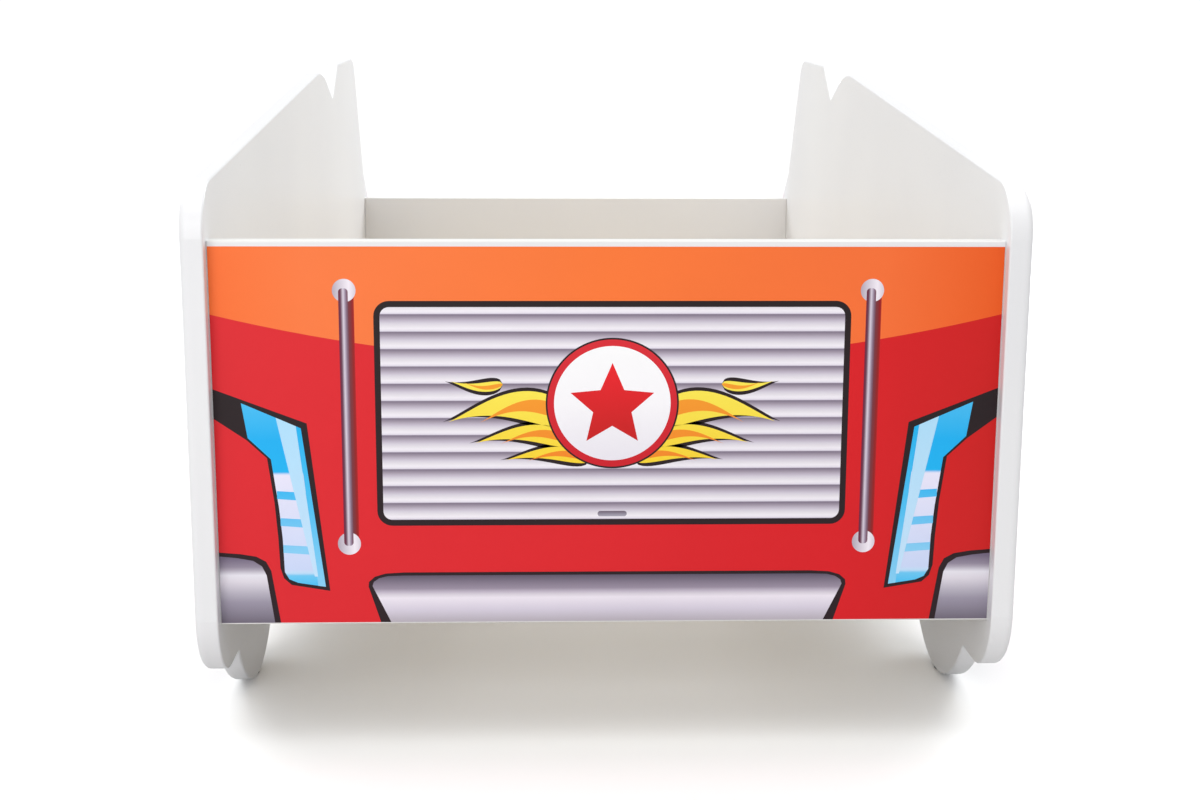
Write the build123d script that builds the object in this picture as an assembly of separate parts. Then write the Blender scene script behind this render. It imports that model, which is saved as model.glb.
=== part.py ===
from build123d import *
import os
from math import hypot

# A child's bed frame in the shape of a fire engine, in millimetres.
#
# X runs across the bed, Y along it from the tail board (-Y) to the cab (+Y), and Z is up.
# The origin is on the floor under the middle of the frame.
# A "station" is a distance along the bed from the rear edge of the side panels.

# ---------------------------------------------------------------- driving dimensions

# The mattress and the room around it
mattress_length = 1400
mattress_width = 700
mattress_end_gap = 20
mattress_side_gap = 10

# Boards
side_thickness = 22
outer_arris = 7
inner_arris = 2
end_thickness = 18
end_arris = 0.8
board_bottom = 126
rear_board_top = 484.5
front_board_top = 390
edge_band = 1
band_arris = 0.8
tail_overhang = 14
nose_overhang = 54

# Printed films on the outer faces
film_thickness = 0.3
film_side_margin = 1
film_end_top_margin = 5
film_end_bottom_margin = 1.3

# Outline of the side panels: heights
sill_height = 68
tail_rise = 48.5
deck_rise = 83
notch_drop = 43
cab_rise = 4
roof_rise = 6
windscreen_foot_rise = 46
nose_drop = 13

# Outline of the side panels: distances along the bed
shoulder_to_notch = 117
notch_to_nose = 510
cab_back_to_nose = 438
cab_front_to_nose = 209
windscreen_foot_to_nose = 86

# Outline of the side panels: corner radii
tail_corner = 50
shoulder_corner = 240
notch_corner = 3
cab_back_corner = 22
cab_front_corner = 60
windscreen_foot_corner = 40
nose_corner = 40
bumper_corner = 65
wheel_arch_corner = 12

# Wheels, which are lobes of the side panels, and the glides under them
wheel_radius = 142
wheel_flat_depth = 0.5
wheel_flat_reach = 70
rear_wheel_station = 226
front_wheel_to_nose = 280
glide_diameter = 20
glide_height = 3
glide_chamfer = 0.8
nail_diameter = 2.2
nail_length = 14
nail_head_diameter = 8
nail_head_height = 1

# Slatted base
slat_top = 220
slat_count = 13
slat_width = 68
slat_thickness = 12
slat_side_gap = 2
slat_arris = 2
rail_width = 20
rail_height = 40
rail_end_gap = 10
rail_arris = 1.5
tape_width = 30
tape_thickness = 1
tape_inset = 130
tape_end = 24
staple_crown = 10
staple_wire = 0.6
staple_wire_width = 1.2
staple_leg = 7

# Screws
rail_screw_diameter = 4
rail_screw_length = 35
rail_screw_head = 8
rail_screw_count = 6
rail_screw_inset = 60
slat_screw_diameter = 3.5
slat_screw_length = 25
slat_screw_head = 7
recess_span = 4.2
recess_slot = 1
recess_depth = 1.8
screw_tip_taper = 0.25

# Knock-down fittings between the end boards and the side panels
cam_diameter = 15
cam_depth = 13.5
cam_setback = 24
cam_key = 6
cam_key_depth = 3
cam_from_bottom = 38
cam_from_top = 95
cap_diameter = 18
cap_thickness = 1
bolt_thread_diameter = 7
bolt_thread_length = 11
bolt_shank_diameter = 5
bolt_head_diameter = 6.8
bolt_head_length = 3
bolt_clearance = 1
dowel_diameter = 8
dowel_length = 30
dowel_in_side = 11
dowel_from_cam = 32
dowel_chamfer = 0.8
hole_bottom_clearance = 1

# How far a cutting block goes past the surface it cuts, and how near counts as the same
over_cut = 1
same_place = 0.01

# ------------------------------------------------------------------ worked-out sizes

inner_width = mattress_width + 2 * mattress_side_gap
inner_length = mattress_length + 2 * mattress_end_gap
side_length = tail_overhang + inner_length + 2 * end_thickness + nose_overhang

rear_face = -side_length / 2 + tail_overhang
rear_inner_face = rear_face + end_thickness
front_inner_face = rear_inner_face + inner_length
front_face = front_inner_face + end_thickness

wheel_centre_height = glide_height - wheel_flat_depth + wheel_radius
wheel_stations = [rear_wheel_station, side_length - front_wheel_to_nose]

inner_face = inner_width / 2
outer_face = inner_face + side_thickness
side_middle = inner_face + side_thickness / 2

slat_underside = slat_top - slat_thickness
rail_middle_height = slat_underside - rail_height / 2
rail_length = inner_length - 2 * rail_end_gap
slat_pitch = (mattress_length - slat_width) / (slat_count - 1)
slat_centres = [
    rear_inner_face + mattress_end_gap + slat_width / 2 + i * slat_pitch
    for i in range(slat_count)
]

SIDES = {"left": -1, "right": 1}
END_BOARDS = {
    "rear": {"outer": rear_face, "inner": rear_inner_face, "top": rear_board_top},
    "front": {"outer": front_face, "inner": front_inner_face, "top": front_board_top},
}


def along_y(station):
    """Y coordinate of a station along the bed."""
    return station - side_length / 2


def block(x_range, y_range, z_range):
    """A rectangular block between three pairs of limits."""
    low = Vector(x_range[0], y_range[0], z_range[0])
    high = Vector(x_range[1], y_range[1], z_range[1])
    centre = (low + high) * 0.5
    size = high - low
    return Pos(centre) * Box(abs(size.X), abs(size.Y), abs(size.Z))


def rod(start, direction, diameter, length):
    """A round rod from a start point along a direction."""
    plane = Plane(origin=start, z_dir=direction)
    return plane * extrude(Circle(diameter / 2), length)


def cone(start, direction, start_diameter, end_diameter, length):
    """A tapered rod from a start point along a direction."""
    plane = Plane(origin=start, z_dir=direction)
    bottom = Align.CENTER, Align.CENTER, Align.MIN
    return plane * Cone(start_diameter / 2, end_diameter / 2, length, align=bottom)


# --------------------------------------------------------------------- side panels


def side_outline():
    """Fire engine seen from the side: deck, notch, cab, nose, and two wheels below the sill."""
    tail_top = rear_board_top + tail_rise
    shoulder_top = tail_top + deck_rise
    cab_back_top = shoulder_top + cab_rise
    windscreen_foot = front_board_top + windscreen_foot_rise
    corners = [
        (0, sill_height, bumper_corner),
        (0, tail_top, tail_corner),
        (side_length - notch_to_nose - shoulder_to_notch, shoulder_top, shoulder_corner),
        (side_length - notch_to_nose, shoulder_top - notch_drop, notch_corner),
        (side_length - cab_back_to_nose, cab_back_top, cab_back_corner),
        (side_length - cab_front_to_nose, cab_back_top + roof_rise, cab_front_corner),
        (side_length - windscreen_foot_to_nose, windscreen_foot, windscreen_foot_corner),
        (side_length, front_board_top - nose_drop, nose_corner),
        (side_length, sill_height, bumper_corner),
    ]
    points = [(along_y(station), height) for station, height, _ in corners]
    radii = [radius for _, _, radius in corners]
    body = make_face(FilletPolyline(*points, radius=radii, close=True))
    wheels = [
        Pos(along_y(station), wheel_centre_height) * Circle(wheel_radius)
        for station in wheel_stations
    ]
    outline = body + wheels
    arches = [v for v in outline.vertices() if is_wheel_junction(v)]
    return fillet(arches, wheel_arch_corner)


def is_wheel_junction(vertex):
    """True where a wheel's rim comes out of the sill line."""
    if abs(vertex.Y - sill_height) > same_place:
        return False
    distances = [
        abs(hypot(vertex.X - along_y(station), vertex.Y - wheel_centre_height) - wheel_radius)
        for station in wheel_stations
    ]
    return min(distances) < same_place


def make_side_panel(sign, outline, fittings):
    """Board cut to the outline, its arrises rounded more outside than inside, and drilled."""
    inner_plane = Plane(origin=(sign * inner_face, 0, 0), x_dir=(0, 1, 0), z_dir=(1, 0, 0))
    panel = extrude(inner_plane * outline, sign * side_thickness)
    for place, arris in ((outer_face, outer_arris), (inner_face, inner_arris)):
        flat_faces = panel.faces().filter_by(Axis.X)
        face = min(flat_faces, key=lambda flat: abs(abs(flat.center().X) - place))
        panel = fillet(face.edges(), arris)
    for station in wheel_stations:
        y = along_y(station)
        panel -= block(
            (sign * (inner_face - over_cut), sign * (outer_face + over_cut)),
            (y - wheel_flat_reach, y + wheel_flat_reach),
            (-over_cut, glide_height),
        )
    for piece in fittings:
        panel -= piece
    return panel


def make_side_film(sign, outline):
    """Printed film on the outer face, inside the rounded arris."""
    film_outline = offset(outline, amount=-(outer_arris + film_side_margin))
    plane = Plane(origin=(sign * outer_face, 0, 0), x_dir=(0, 1, 0), z_dir=(1, 0, 0))
    return extrude(plane * film_outline, sign * film_thickness)


# ---------------------------------------------------------------------- end boards


def board_slice(end, z_range):
    """Full-width slice of an end board between two heights, its upright arrises taken off."""
    slab = block((-inner_face, inner_face), (end["outer"], end["inner"]), z_range)
    return chamfer(slab.edges().filter_by(Axis.Z), end_arris)


def make_end_board(end, fittings):
    """Board between the side panels, without its top and bottom edge bands."""
    board = board_slice(end, (board_bottom + edge_band, end["top"] - edge_band))
    for piece in fittings:
        board -= piece
    return board


def make_edge_band(end, bottom):
    """Plastic band glued on a board's long edge, its two outer arrises rounded."""
    band = board_slice(end, (bottom, bottom + edge_band))
    by_height = band.faces().sort_by(Axis.Z)
    outer = by_height[0] if bottom == board_bottom else by_height[-1]
    return fillet(outer.edges().filter_by(Axis.X), band_arris)


def make_end_film(end):
    """Printed film on the outer face of an end board."""
    half_width = inner_face - end_arris
    return block(
        (-half_width, half_width),
        (end["outer"], end["outer"] - inward(end) * film_thickness),
        (board_bottom + film_end_bottom_margin, end["top"] - film_end_top_margin),
    )


# -------------------------------------------------------------- knock-down fittings


def cam_heights(end):
    """Heights of the two cam fittings at each end of a board."""
    return [board_bottom + cam_from_bottom, end["top"] - cam_from_top]


def dowel_heights(end):
    """Heights of the two dowels at each end of a board, between the cams."""
    lower, upper = cam_heights(end)
    return [lower + dowel_from_cam, upper - dowel_from_cam]


def board_middle(end):
    return (end["outer"] + end["inner"]) / 2


def inward(end):
    """Direction from a board's outer face to its inner face, along Y."""
    return 1 if end["inner"] > end["outer"] else -1


def bolt_length():
    """Length of a cam bolt from the side panel's face to its tip."""
    return cam_setback + bolt_head_length / 2


def make_bolt(sign, end, height):
    """Cam bolt: thread in the side panel, shank through the board's end, head in the cam."""
    root = (sign * inner_face, board_middle(end), height)
    into_side = (sign, 0, 0)
    into_board = (-sign, 0, 0)
    shank_length = bolt_length() - bolt_head_length
    head_root = (sign * (inner_face - shank_length), board_middle(end), height)
    bolt = rod(root, into_side, bolt_thread_diameter, bolt_thread_length)
    bolt += rod(root, into_board, bolt_shank_diameter, shank_length)
    bolt += rod(head_root, into_board, bolt_head_diameter, bolt_head_length)
    return bolt


def make_bolt_passage(sign, end, height):
    """Clearance hole for a cam bolt, from the board's end to past the bolt's tip."""
    root = (sign * inner_face, board_middle(end), height)
    diameter = bolt_head_diameter + bolt_clearance
    return rod(root, (-sign, 0, 0), diameter, bolt_length() + bolt_clearance)


def make_cam_bore(sign, end, height):
    """Blind bore for a cam in a board's inner face."""
    mouth = (sign * (inner_face - cam_setback), end["inner"], height)
    return rod(mouth, (0, -inward(end), 0), cam_diameter, cam_depth)


def make_cam_key(sign, end, height):
    """Round key recess in the middle of a cam's face."""
    mouth = (sign * (inner_face - cam_setback), end["inner"], height)
    return rod(mouth, (0, -inward(end), 0), cam_key, cam_key_depth)


def make_cam(sign, end, height):
    """Cam housing, open towards the side panel for its bolt."""
    cam = make_cam_bore(sign, end, height)
    cam -= make_bolt_passage(sign, end, height)
    return cam - make_cam_key(sign, end, height)


def make_cap(sign, end, height):
    """Cover cap: a thin disc over the cam, with a stud in the key recess."""
    mouth = (sign * (inner_face - cam_setback), end["inner"], height)
    disc = rod(mouth, (0, inward(end), 0), cap_diameter, cap_thickness)
    rim = disc.edges().filter_by(GeomType.CIRCLE).sort_by(Axis.Y)[-1 if inward(end) > 0 else 0]
    disc = fillet(rim, cap_thickness / 2)
    stud = rod(mouth, (0, -inward(end), 0), cam_key, cam_key_depth - hole_bottom_clearance)
    return disc + stud


def make_dowel(sign, end, height):
    """Wooden dowel across the joint."""
    tip = (sign * (inner_face + dowel_in_side), board_middle(end), height)
    dowel = rod(tip, (-sign, 0, 0), dowel_diameter, dowel_length)
    return chamfer(dowel.edges().filter_by(GeomType.CIRCLE), dowel_chamfer)


def make_dowel_hole(sign, end, height):
    """Hole for a dowel, a little deeper than it at both ends."""
    tip = (
        sign * (inner_face + dowel_in_side + hole_bottom_clearance),
        board_middle(end),
        height,
    )
    return rod(tip, (-sign, 0, 0), dowel_diameter, dowel_length + 2 * hole_bottom_clearance)


def at_joints(end, heights, make):
    """One piece at each height, at both ends of an end board."""
    return [make(sign, end, height) for sign in SIDES.values() for height in heights]


# --------------------------------------------------------------------- slatted base


def make_rail(sign, screws):
    """Softwood rail that carries the slats, screwed to the side panel's inner face."""
    rail = block(
        (sign * (inner_face - rail_width), sign * inner_face),
        (rear_inner_face + rail_end_gap, front_inner_face - rail_end_gap),
        (slat_underside - rail_height, slat_underside),
    )
    free_edges = [
        edge
        for edge in rail.edges().filter_by(Axis.Y)
        if abs(edge.center().X) < inner_face - rail_width / 2
    ]
    rail = chamfer(free_edges, rail_arris)
    for screw in screws:
        rail -= screw
    return rail


def make_slat(y, cuts):
    """Slat across the bed, with rounded long arrises."""
    half_length = inner_face - slat_side_gap
    slat = block(
        (-half_length, half_length),
        (y - slat_width / 2, y + slat_width / 2),
        (slat_underside, slat_top),
    )
    slat = fillet(slat.edges().filter_by(Axis.X), slat_arris)
    for cut in cuts:
        slat -= cut
    return slat


def tape_middle(sign):
    return sign * (inner_face - tape_inset)


def make_tape(sign, staples):
    """Woven tape that keeps the slats apart, stapled to the underside of each one."""
    tape = block(
        (tape_middle(sign) - tape_width / 2, tape_middle(sign) + tape_width / 2),
        (slat_centres[0] - tape_end, slat_centres[-1] + tape_end),
        (slat_underside - tape_thickness, slat_underside),
    )
    for staple in staples:
        tape -= staple
    return tape


def make_staple(sign, y):
    """Wire staple across the tape, with its two legs up in the slat."""
    x = tape_middle(sign)
    crown_top = slat_underside - tape_thickness
    y_range = (y - staple_wire_width / 2, y + staple_wire_width / 2)
    staple = block(
        (x - staple_crown / 2, x + staple_crown / 2),
        y_range,
        (crown_top - staple_wire, crown_top),
    )
    for side in SIDES.values():
        outer = x + side * staple_crown / 2
        staple += block(
            (outer - side * staple_wire, outer),
            y_range,
            (crown_top - staple_wire, slat_underside + staple_leg),
        )
    return staple


def make_screw(head_centre, direction, diameter, length, head_diameter):
    """Countersunk wood screw, its thread drawn as a plain shank with a pointed tip."""
    head_height = (head_diameter - diameter) / 2
    tip_length = diameter
    axis = Vector(*direction)
    head_centre = Vector(*head_centre)
    screw = cone(head_centre, direction, head_diameter, diameter, head_height)
    neck = head_centre + axis * head_height
    screw += rod(neck, direction, diameter, length - head_height - tip_length)
    tip_root = head_centre + axis * (length - tip_length)
    screw += cone(tip_root, direction, diameter, diameter * screw_tip_taper, tip_length)
    return screw, screw - cross_recess(head_centre, direction)


def cross_recess(head_centre, direction):
    """Cross-shaped driver recess in the middle of a screw's head."""
    plane = Plane(origin=head_centre, z_dir=direction)
    cross = Box(recess_span, recess_slot, 2 * recess_depth)
    cross += Box(recess_slot, recess_span, 2 * recess_depth)
    return plane * cross


def rail_screws(sign):
    """Screws through a rail into its side panel, as pairs of cutter and screw."""
    first = rear_inner_face + rail_end_gap + rail_screw_inset
    pitch = (rail_length - 2 * rail_screw_inset) / (rail_screw_count - 1)
    return [
        make_screw(
            (sign * (inner_face - rail_width), first + i * pitch, rail_middle_height),
            (sign, 0, 0),
            rail_screw_diameter,
            rail_screw_length,
            rail_screw_head,
        )
        for i in range(rail_screw_count)
    ]


def slat_screw(sign, y):
    """Screw through an end slat into a rail, as a pair of cutter and screw."""
    return make_screw(
        (sign * (inner_face - rail_width / 2), y, slat_top),
        (0, 0, -1),
        slat_screw_diameter,
        slat_screw_length,
        slat_screw_head,
    )


# --------------------------------------------------------------------------- glides


def make_nail(sign, station):
    """Steel nail that holds a glide: flat head in the glide, shank up into the wheel."""
    base = (sign * side_middle, along_y(station), glide_height - nail_head_height)
    nail = rod(base, (0, 0, 1), nail_head_diameter, nail_head_height)
    return nail + rod(base, (0, 0, 1), nail_diameter, nail_length)


def make_glide(sign, station, nail):
    """Round black plastic glide under a wheel."""
    base = (sign * side_middle, along_y(station), 0)
    glide = rod(base, (0, 0, 1), glide_diameter, glide_height)
    glide = chamfer(glide.edges().filter_by(GeomType.CIRCLE).sort_by(Axis.Z)[0], glide_chamfer)
    return glide - nail


# ------------------------------------------------------------------------- assembly


def make_nodes():
    """Every node of the bed, by name: one solid, or a list of like solids."""
    nodes = {}
    outline = side_outline()

    dowel_holes = []
    bolts = []
    for name, end in END_BOARDS.items():
        cams_at = cam_heights(end)
        dowels_at = dowel_heights(end)
        holes = at_joints(end, dowels_at, make_dowel_hole)
        board_cuts = holes + at_joints(end, cams_at, make_cam_bore)
        board_cuts += at_joints(end, cams_at, make_bolt_passage)
        nodes[f"{name}_end_board"] = make_end_board(end, board_cuts)
        nodes[f"{name}_top_edge_band"] = make_edge_band(end, end["top"] - edge_band)
        nodes[f"{name}_bottom_edge_band"] = make_edge_band(end, board_bottom)
        nodes[f"{name}_end_film"] = make_end_film(end)
        nodes[f"{name}_cam_housings"] = at_joints(end, cams_at, make_cam)
        nodes[f"{name}_cam_bolts"] = at_joints(end, cams_at, make_bolt)
        nodes[f"{name}_cam_caps"] = at_joints(end, cams_at, make_cap)
        nodes[f"{name}_dowels"] = at_joints(end, dowels_at, make_dowel)
        dowel_holes += holes
        bolts += nodes[f"{name}_cam_bolts"]

    slat_cuts = {y: [] for y in slat_centres}
    slat_screws = []
    nails = []
    for side, sign in SIDES.items():
        end_slat_screws = [slat_screw(sign, y) for y in (slat_centres[0], slat_centres[-1])]
        slat_screws += [screw for _, screw in end_slat_screws]
        slat_screw_cuts = [cutter for cutter, _ in end_slat_screws]
        slat_cuts[slat_centres[0]].append(slat_screw_cuts[0])
        slat_cuts[slat_centres[-1]].append(slat_screw_cuts[1])

        staples = [make_staple(sign, y) for y in slat_centres]
        for y, staple in zip(slat_centres, staples):
            slat_cuts[y].append(staple)
        nodes[f"{side}_slat_tape"] = make_tape(sign, staples)
        nodes[f"{side}_tape_staples"] = staples

        screws = rail_screws(sign)
        screw_cuts = [cutter for cutter, _ in screws]
        nodes[f"{side}_slat_rail"] = make_rail(sign, screw_cuts + slat_screw_cuts)
        nodes[f"{side}_rail_screws"] = [screw for _, screw in screws]

        side_nails = [make_nail(sign, station) for station in wheel_stations]
        for end_name, station, nail in zip(END_BOARDS, wheel_stations, side_nails):
            nodes[f"{end_name}_{side}_glide"] = make_glide(sign, station, nail)
        nails += side_nails

        panel_cuts = [piece for piece in dowel_holes + bolts if piece.center().X * sign > 0]
        panel_cuts += screw_cuts + side_nails
        nodes[f"{side}_side_panel"] = make_side_panel(sign, outline, panel_cuts)
        nodes[f"{side}_side_film"] = make_side_film(sign, outline)

    for i, y in enumerate(slat_centres, start=1):
        nodes[f"slat_{i:02d}"] = make_slat(y, slat_cuts[y])
    nodes["slat_screws"] = slat_screws
    nodes["glide_nails"] = nails
    return nodes


os.makedirs("parts", exist_ok=True)
for name, shape in make_nodes().items():
    part = Compound(children=shape) if isinstance(shape, list) else shape
    export_step(part, f"parts/{name}.step")
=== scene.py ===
from math import cos, pi, radians, sin

import bmesh
import bpy
from mathutils import Matrix, Vector


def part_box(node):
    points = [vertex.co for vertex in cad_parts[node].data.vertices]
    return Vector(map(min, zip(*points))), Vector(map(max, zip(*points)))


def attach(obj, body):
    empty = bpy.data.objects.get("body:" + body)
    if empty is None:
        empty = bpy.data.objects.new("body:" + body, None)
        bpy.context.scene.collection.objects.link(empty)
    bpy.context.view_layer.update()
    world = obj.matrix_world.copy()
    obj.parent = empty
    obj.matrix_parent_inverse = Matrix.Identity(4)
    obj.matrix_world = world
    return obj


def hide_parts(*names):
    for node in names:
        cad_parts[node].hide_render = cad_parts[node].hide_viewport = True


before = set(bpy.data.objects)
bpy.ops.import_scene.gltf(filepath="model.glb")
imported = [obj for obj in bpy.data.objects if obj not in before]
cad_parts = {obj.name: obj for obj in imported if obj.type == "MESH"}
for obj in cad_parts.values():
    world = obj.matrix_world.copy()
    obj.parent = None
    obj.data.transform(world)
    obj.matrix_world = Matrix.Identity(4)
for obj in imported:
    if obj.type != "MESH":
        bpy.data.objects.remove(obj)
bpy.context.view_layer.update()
scene = bpy.context.scene

# ---------------------------------------------------------------------------- camera
# The camera stands 1.6 m behind the tail board and 0.67 m above the floor, a little left
# of the middle, and is tilted down so that the slats show over the board. Its angles are
# in degrees.
CAMERA_PLACE = (-0.0613, -2.361, 0.6687)
TURN_RIGHT = 1.928
TILT_DOWN = 11.6244
ROLL = 0.2644
camera_data = bpy.data.cameras.new("camera")
camera_data.sensor_width = 36
camera_data.lens = 53.7
camera_data.clip_end = 100
camera = bpy.data.objects.new("camera", camera_data)
camera.matrix_world = (
    Matrix.Translation(CAMERA_PLACE)
    @ Matrix.Rotation(-radians(TURN_RIGHT), 4, "Z")
    @ Matrix.Rotation(pi / 2 - radians(TILT_DOWN), 4, "X")
    @ Matrix.Rotation(radians(ROLL), 4, "Z")
)
scene.collection.objects.link(camera)
scene.camera = camera


# ----------------------------------------------------------------------------- floor
# A wide round floor of matt white studio vinyl, seen brighter than it shines. The three
# functions that the materials share come first: for colours, for nodes and for a new
# material.
def linear(colour):
    """A linear RGBA colour from an sRGB hex value."""
    channels = [int(colour[i : i + 2], 16) / 255 for i in (1, 3, 5)]
    return [c / 12.92 if c <= 0.04045 else ((c + 0.055) / 1.055) ** 2.4 for c in channels] + [1]


def add_node(tree, kind, inputs=None, stops=None, **settings):
    """Adds a node. An input is a value, or another node's output, which is linked to it."""
    node = tree.nodes.new(kind)
    for name, value in settings.items():
        setattr(node, name, value)
    for name, value in (inputs or {}).items():
        if isinstance(value, bpy.types.NodeSocket):
            tree.links.new(value, node.inputs[name])
        else:
            node.inputs[name].default_value = value
    if stops:
        ramp = node.color_ramp
        while len(ramp.elements) < len(stops):
            ramp.elements.new(0.5)
        for element, (place, colour) in zip(ramp.elements, stops):
            element.position = place
            element.color = linear(colour)
    return node


def new_material(name):
    """A new material: itself, its node tree, its output node and its object coordinates."""
    material = bpy.data.materials.new(name)
    material.use_nodes = True
    tree = material.node_tree
    tree.nodes.clear()
    output = add_node(tree, "ShaderNodeOutputMaterial")
    place = add_node(tree, "ShaderNodeTexCoord").outputs["Object"]
    return material, tree, output, place


FLOOR_SEEN = "#fefefe"
FLOOR_SHINES = "#c6c6c6"
FLOOR_RADIUS = 30
floor_material, tree, output, place = new_material("matt_white_vinyl")
grain = add_node(tree, "ShaderNodeTexNoise", {"Vector": place, "Scale": 300, "Detail": 2})
bump = add_node(tree, "ShaderNodeBump", {"Height": grain.outputs["Fac"], "Strength": 0.05})
seen = add_node(tree, "ShaderNodeLightPath").outputs["Is Camera Ray"]
vinyl = add_node(
    tree, "ShaderNodeValToRGB", {"Fac": seen}, stops=[(0, FLOOR_SHINES), (1, FLOOR_SEEN)]
)
shader = add_node(
    tree,
    "ShaderNodeBsdfPrincipled",
    {"Base Color": vinyl.outputs["Color"], "Roughness": 0.7, "Normal": bump.outputs["Normal"]},
)
shader.inputs["Specular IOR Level"].default_value = 0.2
tree.links.new(shader.outputs["BSDF"], output.inputs["Surface"])

floor_mesh = bmesh.new()
bmesh.ops.create_circle(floor_mesh, cap_ends=True, segments=128, radius=FLOOR_RADIUS)
floor_data = bpy.data.meshes.new("floor")
floor_mesh.to_mesh(floor_data)
floor_data.materials.append(floor_material)
floor = bpy.data.objects.new("floor", floor_data)
scene.collection.objects.link(floor)

# ---------------------------------------------------------------------------- lights
# A white studio: even light from all round and a wide ceiling of light above. Two soft
# boxes behind the cab, one on each side, shine into the bed, and one in front of the tail
# board and to its left lights the print. The backdrop is seen brighter than it shines.
CEILING_POWER = 1.6
LEFT_POWER = 52
RIGHT_POWER = 72
BACK_COLOUR = (0.93, 0.97, 1)
KEY_POWER = 28
BOX_SIZE = 1.8
FILL = 0.65
BACKDROP = 1.06
world = bpy.data.worlds.new("studio")
world.use_nodes = True
tree = world.node_tree
tree.nodes.clear()
seen = add_node(tree, "ShaderNodeLightPath").outputs["Is Camera Ray"]
strength = add_node(
    tree, "ShaderNodeMapRange", {"Value": seen, "To Min": FILL, "To Max": BACKDROP}
)
light = add_node(
    tree,
    "ShaderNodeBackground",
    {"Color": (1, 1, 1, 1), "Strength": strength.outputs["Result"]},
)
output = add_node(tree, "ShaderNodeOutputWorld", {"Surface": light.outputs["Background"]})
scene.world = world
scene.view_settings.view_transform = "Standard"

ceiling_data = bpy.data.lights.new("ceiling", "SUN")
ceiling_data.energy = CEILING_POWER
ceiling_data.angle = radians(80)
ceiling = bpy.data.objects.new("ceiling", ceiling_data)
ceiling.rotation_euler = (radians(6), radians(-4), 0)
scene.collection.objects.link(ceiling)

for side, power in ((-1, LEFT_POWER), (1, RIGHT_POWER)):
    back_data = bpy.data.lights.new("back_box", "AREA")
    back_data.shape = "SQUARE"
    back_data.size = BOX_SIZE
    back_data.energy = power
    back_data.color = BACK_COLOUR
    back = bpy.data.objects.new("back_box", back_data)
    back_place = Vector((side * 2.3, 2.3, 1.8))
    back_aim = (Vector((0, 0.4, 0.4)) - back_place).to_track_quat("-Z", "Y")
    back.matrix_world = Matrix.Translation(back_place) @ back_aim.to_matrix().to_4x4()
    back.visible_camera = False
    scene.collection.objects.link(back)

key_data = bpy.data.lights.new("soft_box", "AREA")
key_data.shape = "SQUARE"
key_data.size = BOX_SIZE
key_data.energy = KEY_POWER
key = bpy.data.objects.new("soft_box", key_data)
key_place = Vector((-1.3, -3.4, 1.3))
key_aim = (Vector((0, -0.5, 0.3)) - key_place).to_track_quat("-Z", "Y")
key.matrix_world = Matrix.Translation(key_place) @ key_aim.to_matrix().to_4x4()
scene.collection.objects.link(key)


# ---------------------------------------------------------------------------- boards
# Side panels and end boards: MDF wrapped in white PVC foil, pressed over the rounded
# arrises. The foil is satin, with a faint pebble and a soft reflection.
def dress(nodes, material):
    """Gives CAD nodes a material."""
    for name in nodes:
        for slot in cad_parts[name].material_slots:
            slot.material = material


FOIL_PEBBLE = 1.4e-3
foil, tree, output, place = new_material("white_pvc_foil")
cloud = add_node(tree, "ShaderNodeTexNoise", {"Vector": place, "Scale": 3, "Detail": 2})
white = add_node(
    tree,
    "ShaderNodeValToRGB",
    {"Fac": cloud.outputs["Fac"]},
    stops=[(0.3, "#e2e2e4"), (0.7, "#e7e7e8")],
)
pebble = add_node(
    tree, "ShaderNodeTexNoise", {"Vector": place, "Scale": 1 / FOIL_PEBBLE, "Detail": 3}
)
waves = add_node(tree, "ShaderNodeTexNoise", {"Vector": place, "Scale": 45, "Detail": 1})
heights = add_node(
    tree,
    "ShaderNodeMath",
    {0: waves.outputs["Fac"], 1: 2.0, 2: pebble.outputs["Fac"]},
    operation="MULTIPLY_ADD",
)
bump = add_node(
    tree,
    "ShaderNodeBump",
    {"Height": heights.outputs["Value"], "Strength": 0.12, "Distance": 1e-4},
)
sheen = add_node(
    tree,
    "ShaderNodeMapRange",
    {"Value": pebble.outputs["Fac"], "To Min": 0.24, "To Max": 0.36},
)
shader = add_node(
    tree,
    "ShaderNodeBsdfPrincipled",
    {
        "Base Color": white.outputs["Color"],
        "Roughness": sheen.outputs["Result"],
        "IOR": 1.5,
        "Normal": bump.outputs["Normal"],
    },
)
tree.links.new(shader.outputs["BSDF"], output.inputs["Surface"])
dress(["left_side_panel", "right_side_panel", "rear_end_board", "front_end_board"], foil)

# ------------------------------------------------------------------------ edge bands
# White ABS band, 1 mm thick, glued along the end boards' top and bottom edges and
# scraped flush, which leaves fine lines along the band.
BAND_LINE = 0.7e-3
band_plastic, tree, output, place = new_material("white_abs_band")
along = add_node(tree, "ShaderNodeMapping", {"Vector": place, "Scale": (3, 1 / BAND_LINE, 40)})
lines = add_node(tree, "ShaderNodeTexNoise", {"Vector": along.outputs["Vector"], "Scale": 1})
tone = add_node(
    tree,
    "ShaderNodeValToRGB",
    {"Fac": lines.outputs["Fac"]},
    stops=[(0.3, "#e2e2e0"), (0.7, "#e8e8e6")],
)
bump = add_node(
    tree,
    "ShaderNodeBump",
    {"Height": lines.outputs["Fac"], "Strength": 0.1, "Distance": 1e-4},
)
shader = add_node(
    tree,
    "ShaderNodeBsdfPrincipled",
    {
        "Base Color": tone.outputs["Color"],
        "Roughness": 0.3,
        "IOR": 1.52,
        "Normal": bump.outputs["Normal"],
    },
)
tree.links.new(shader.outputs["BSDF"], output.inputs["Surface"])
ENDS = ("rear", "front")
dress([f"{end}_{edge}_edge_band" for end in ENDS for edge in ("top", "bottom")], band_plastic)


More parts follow.
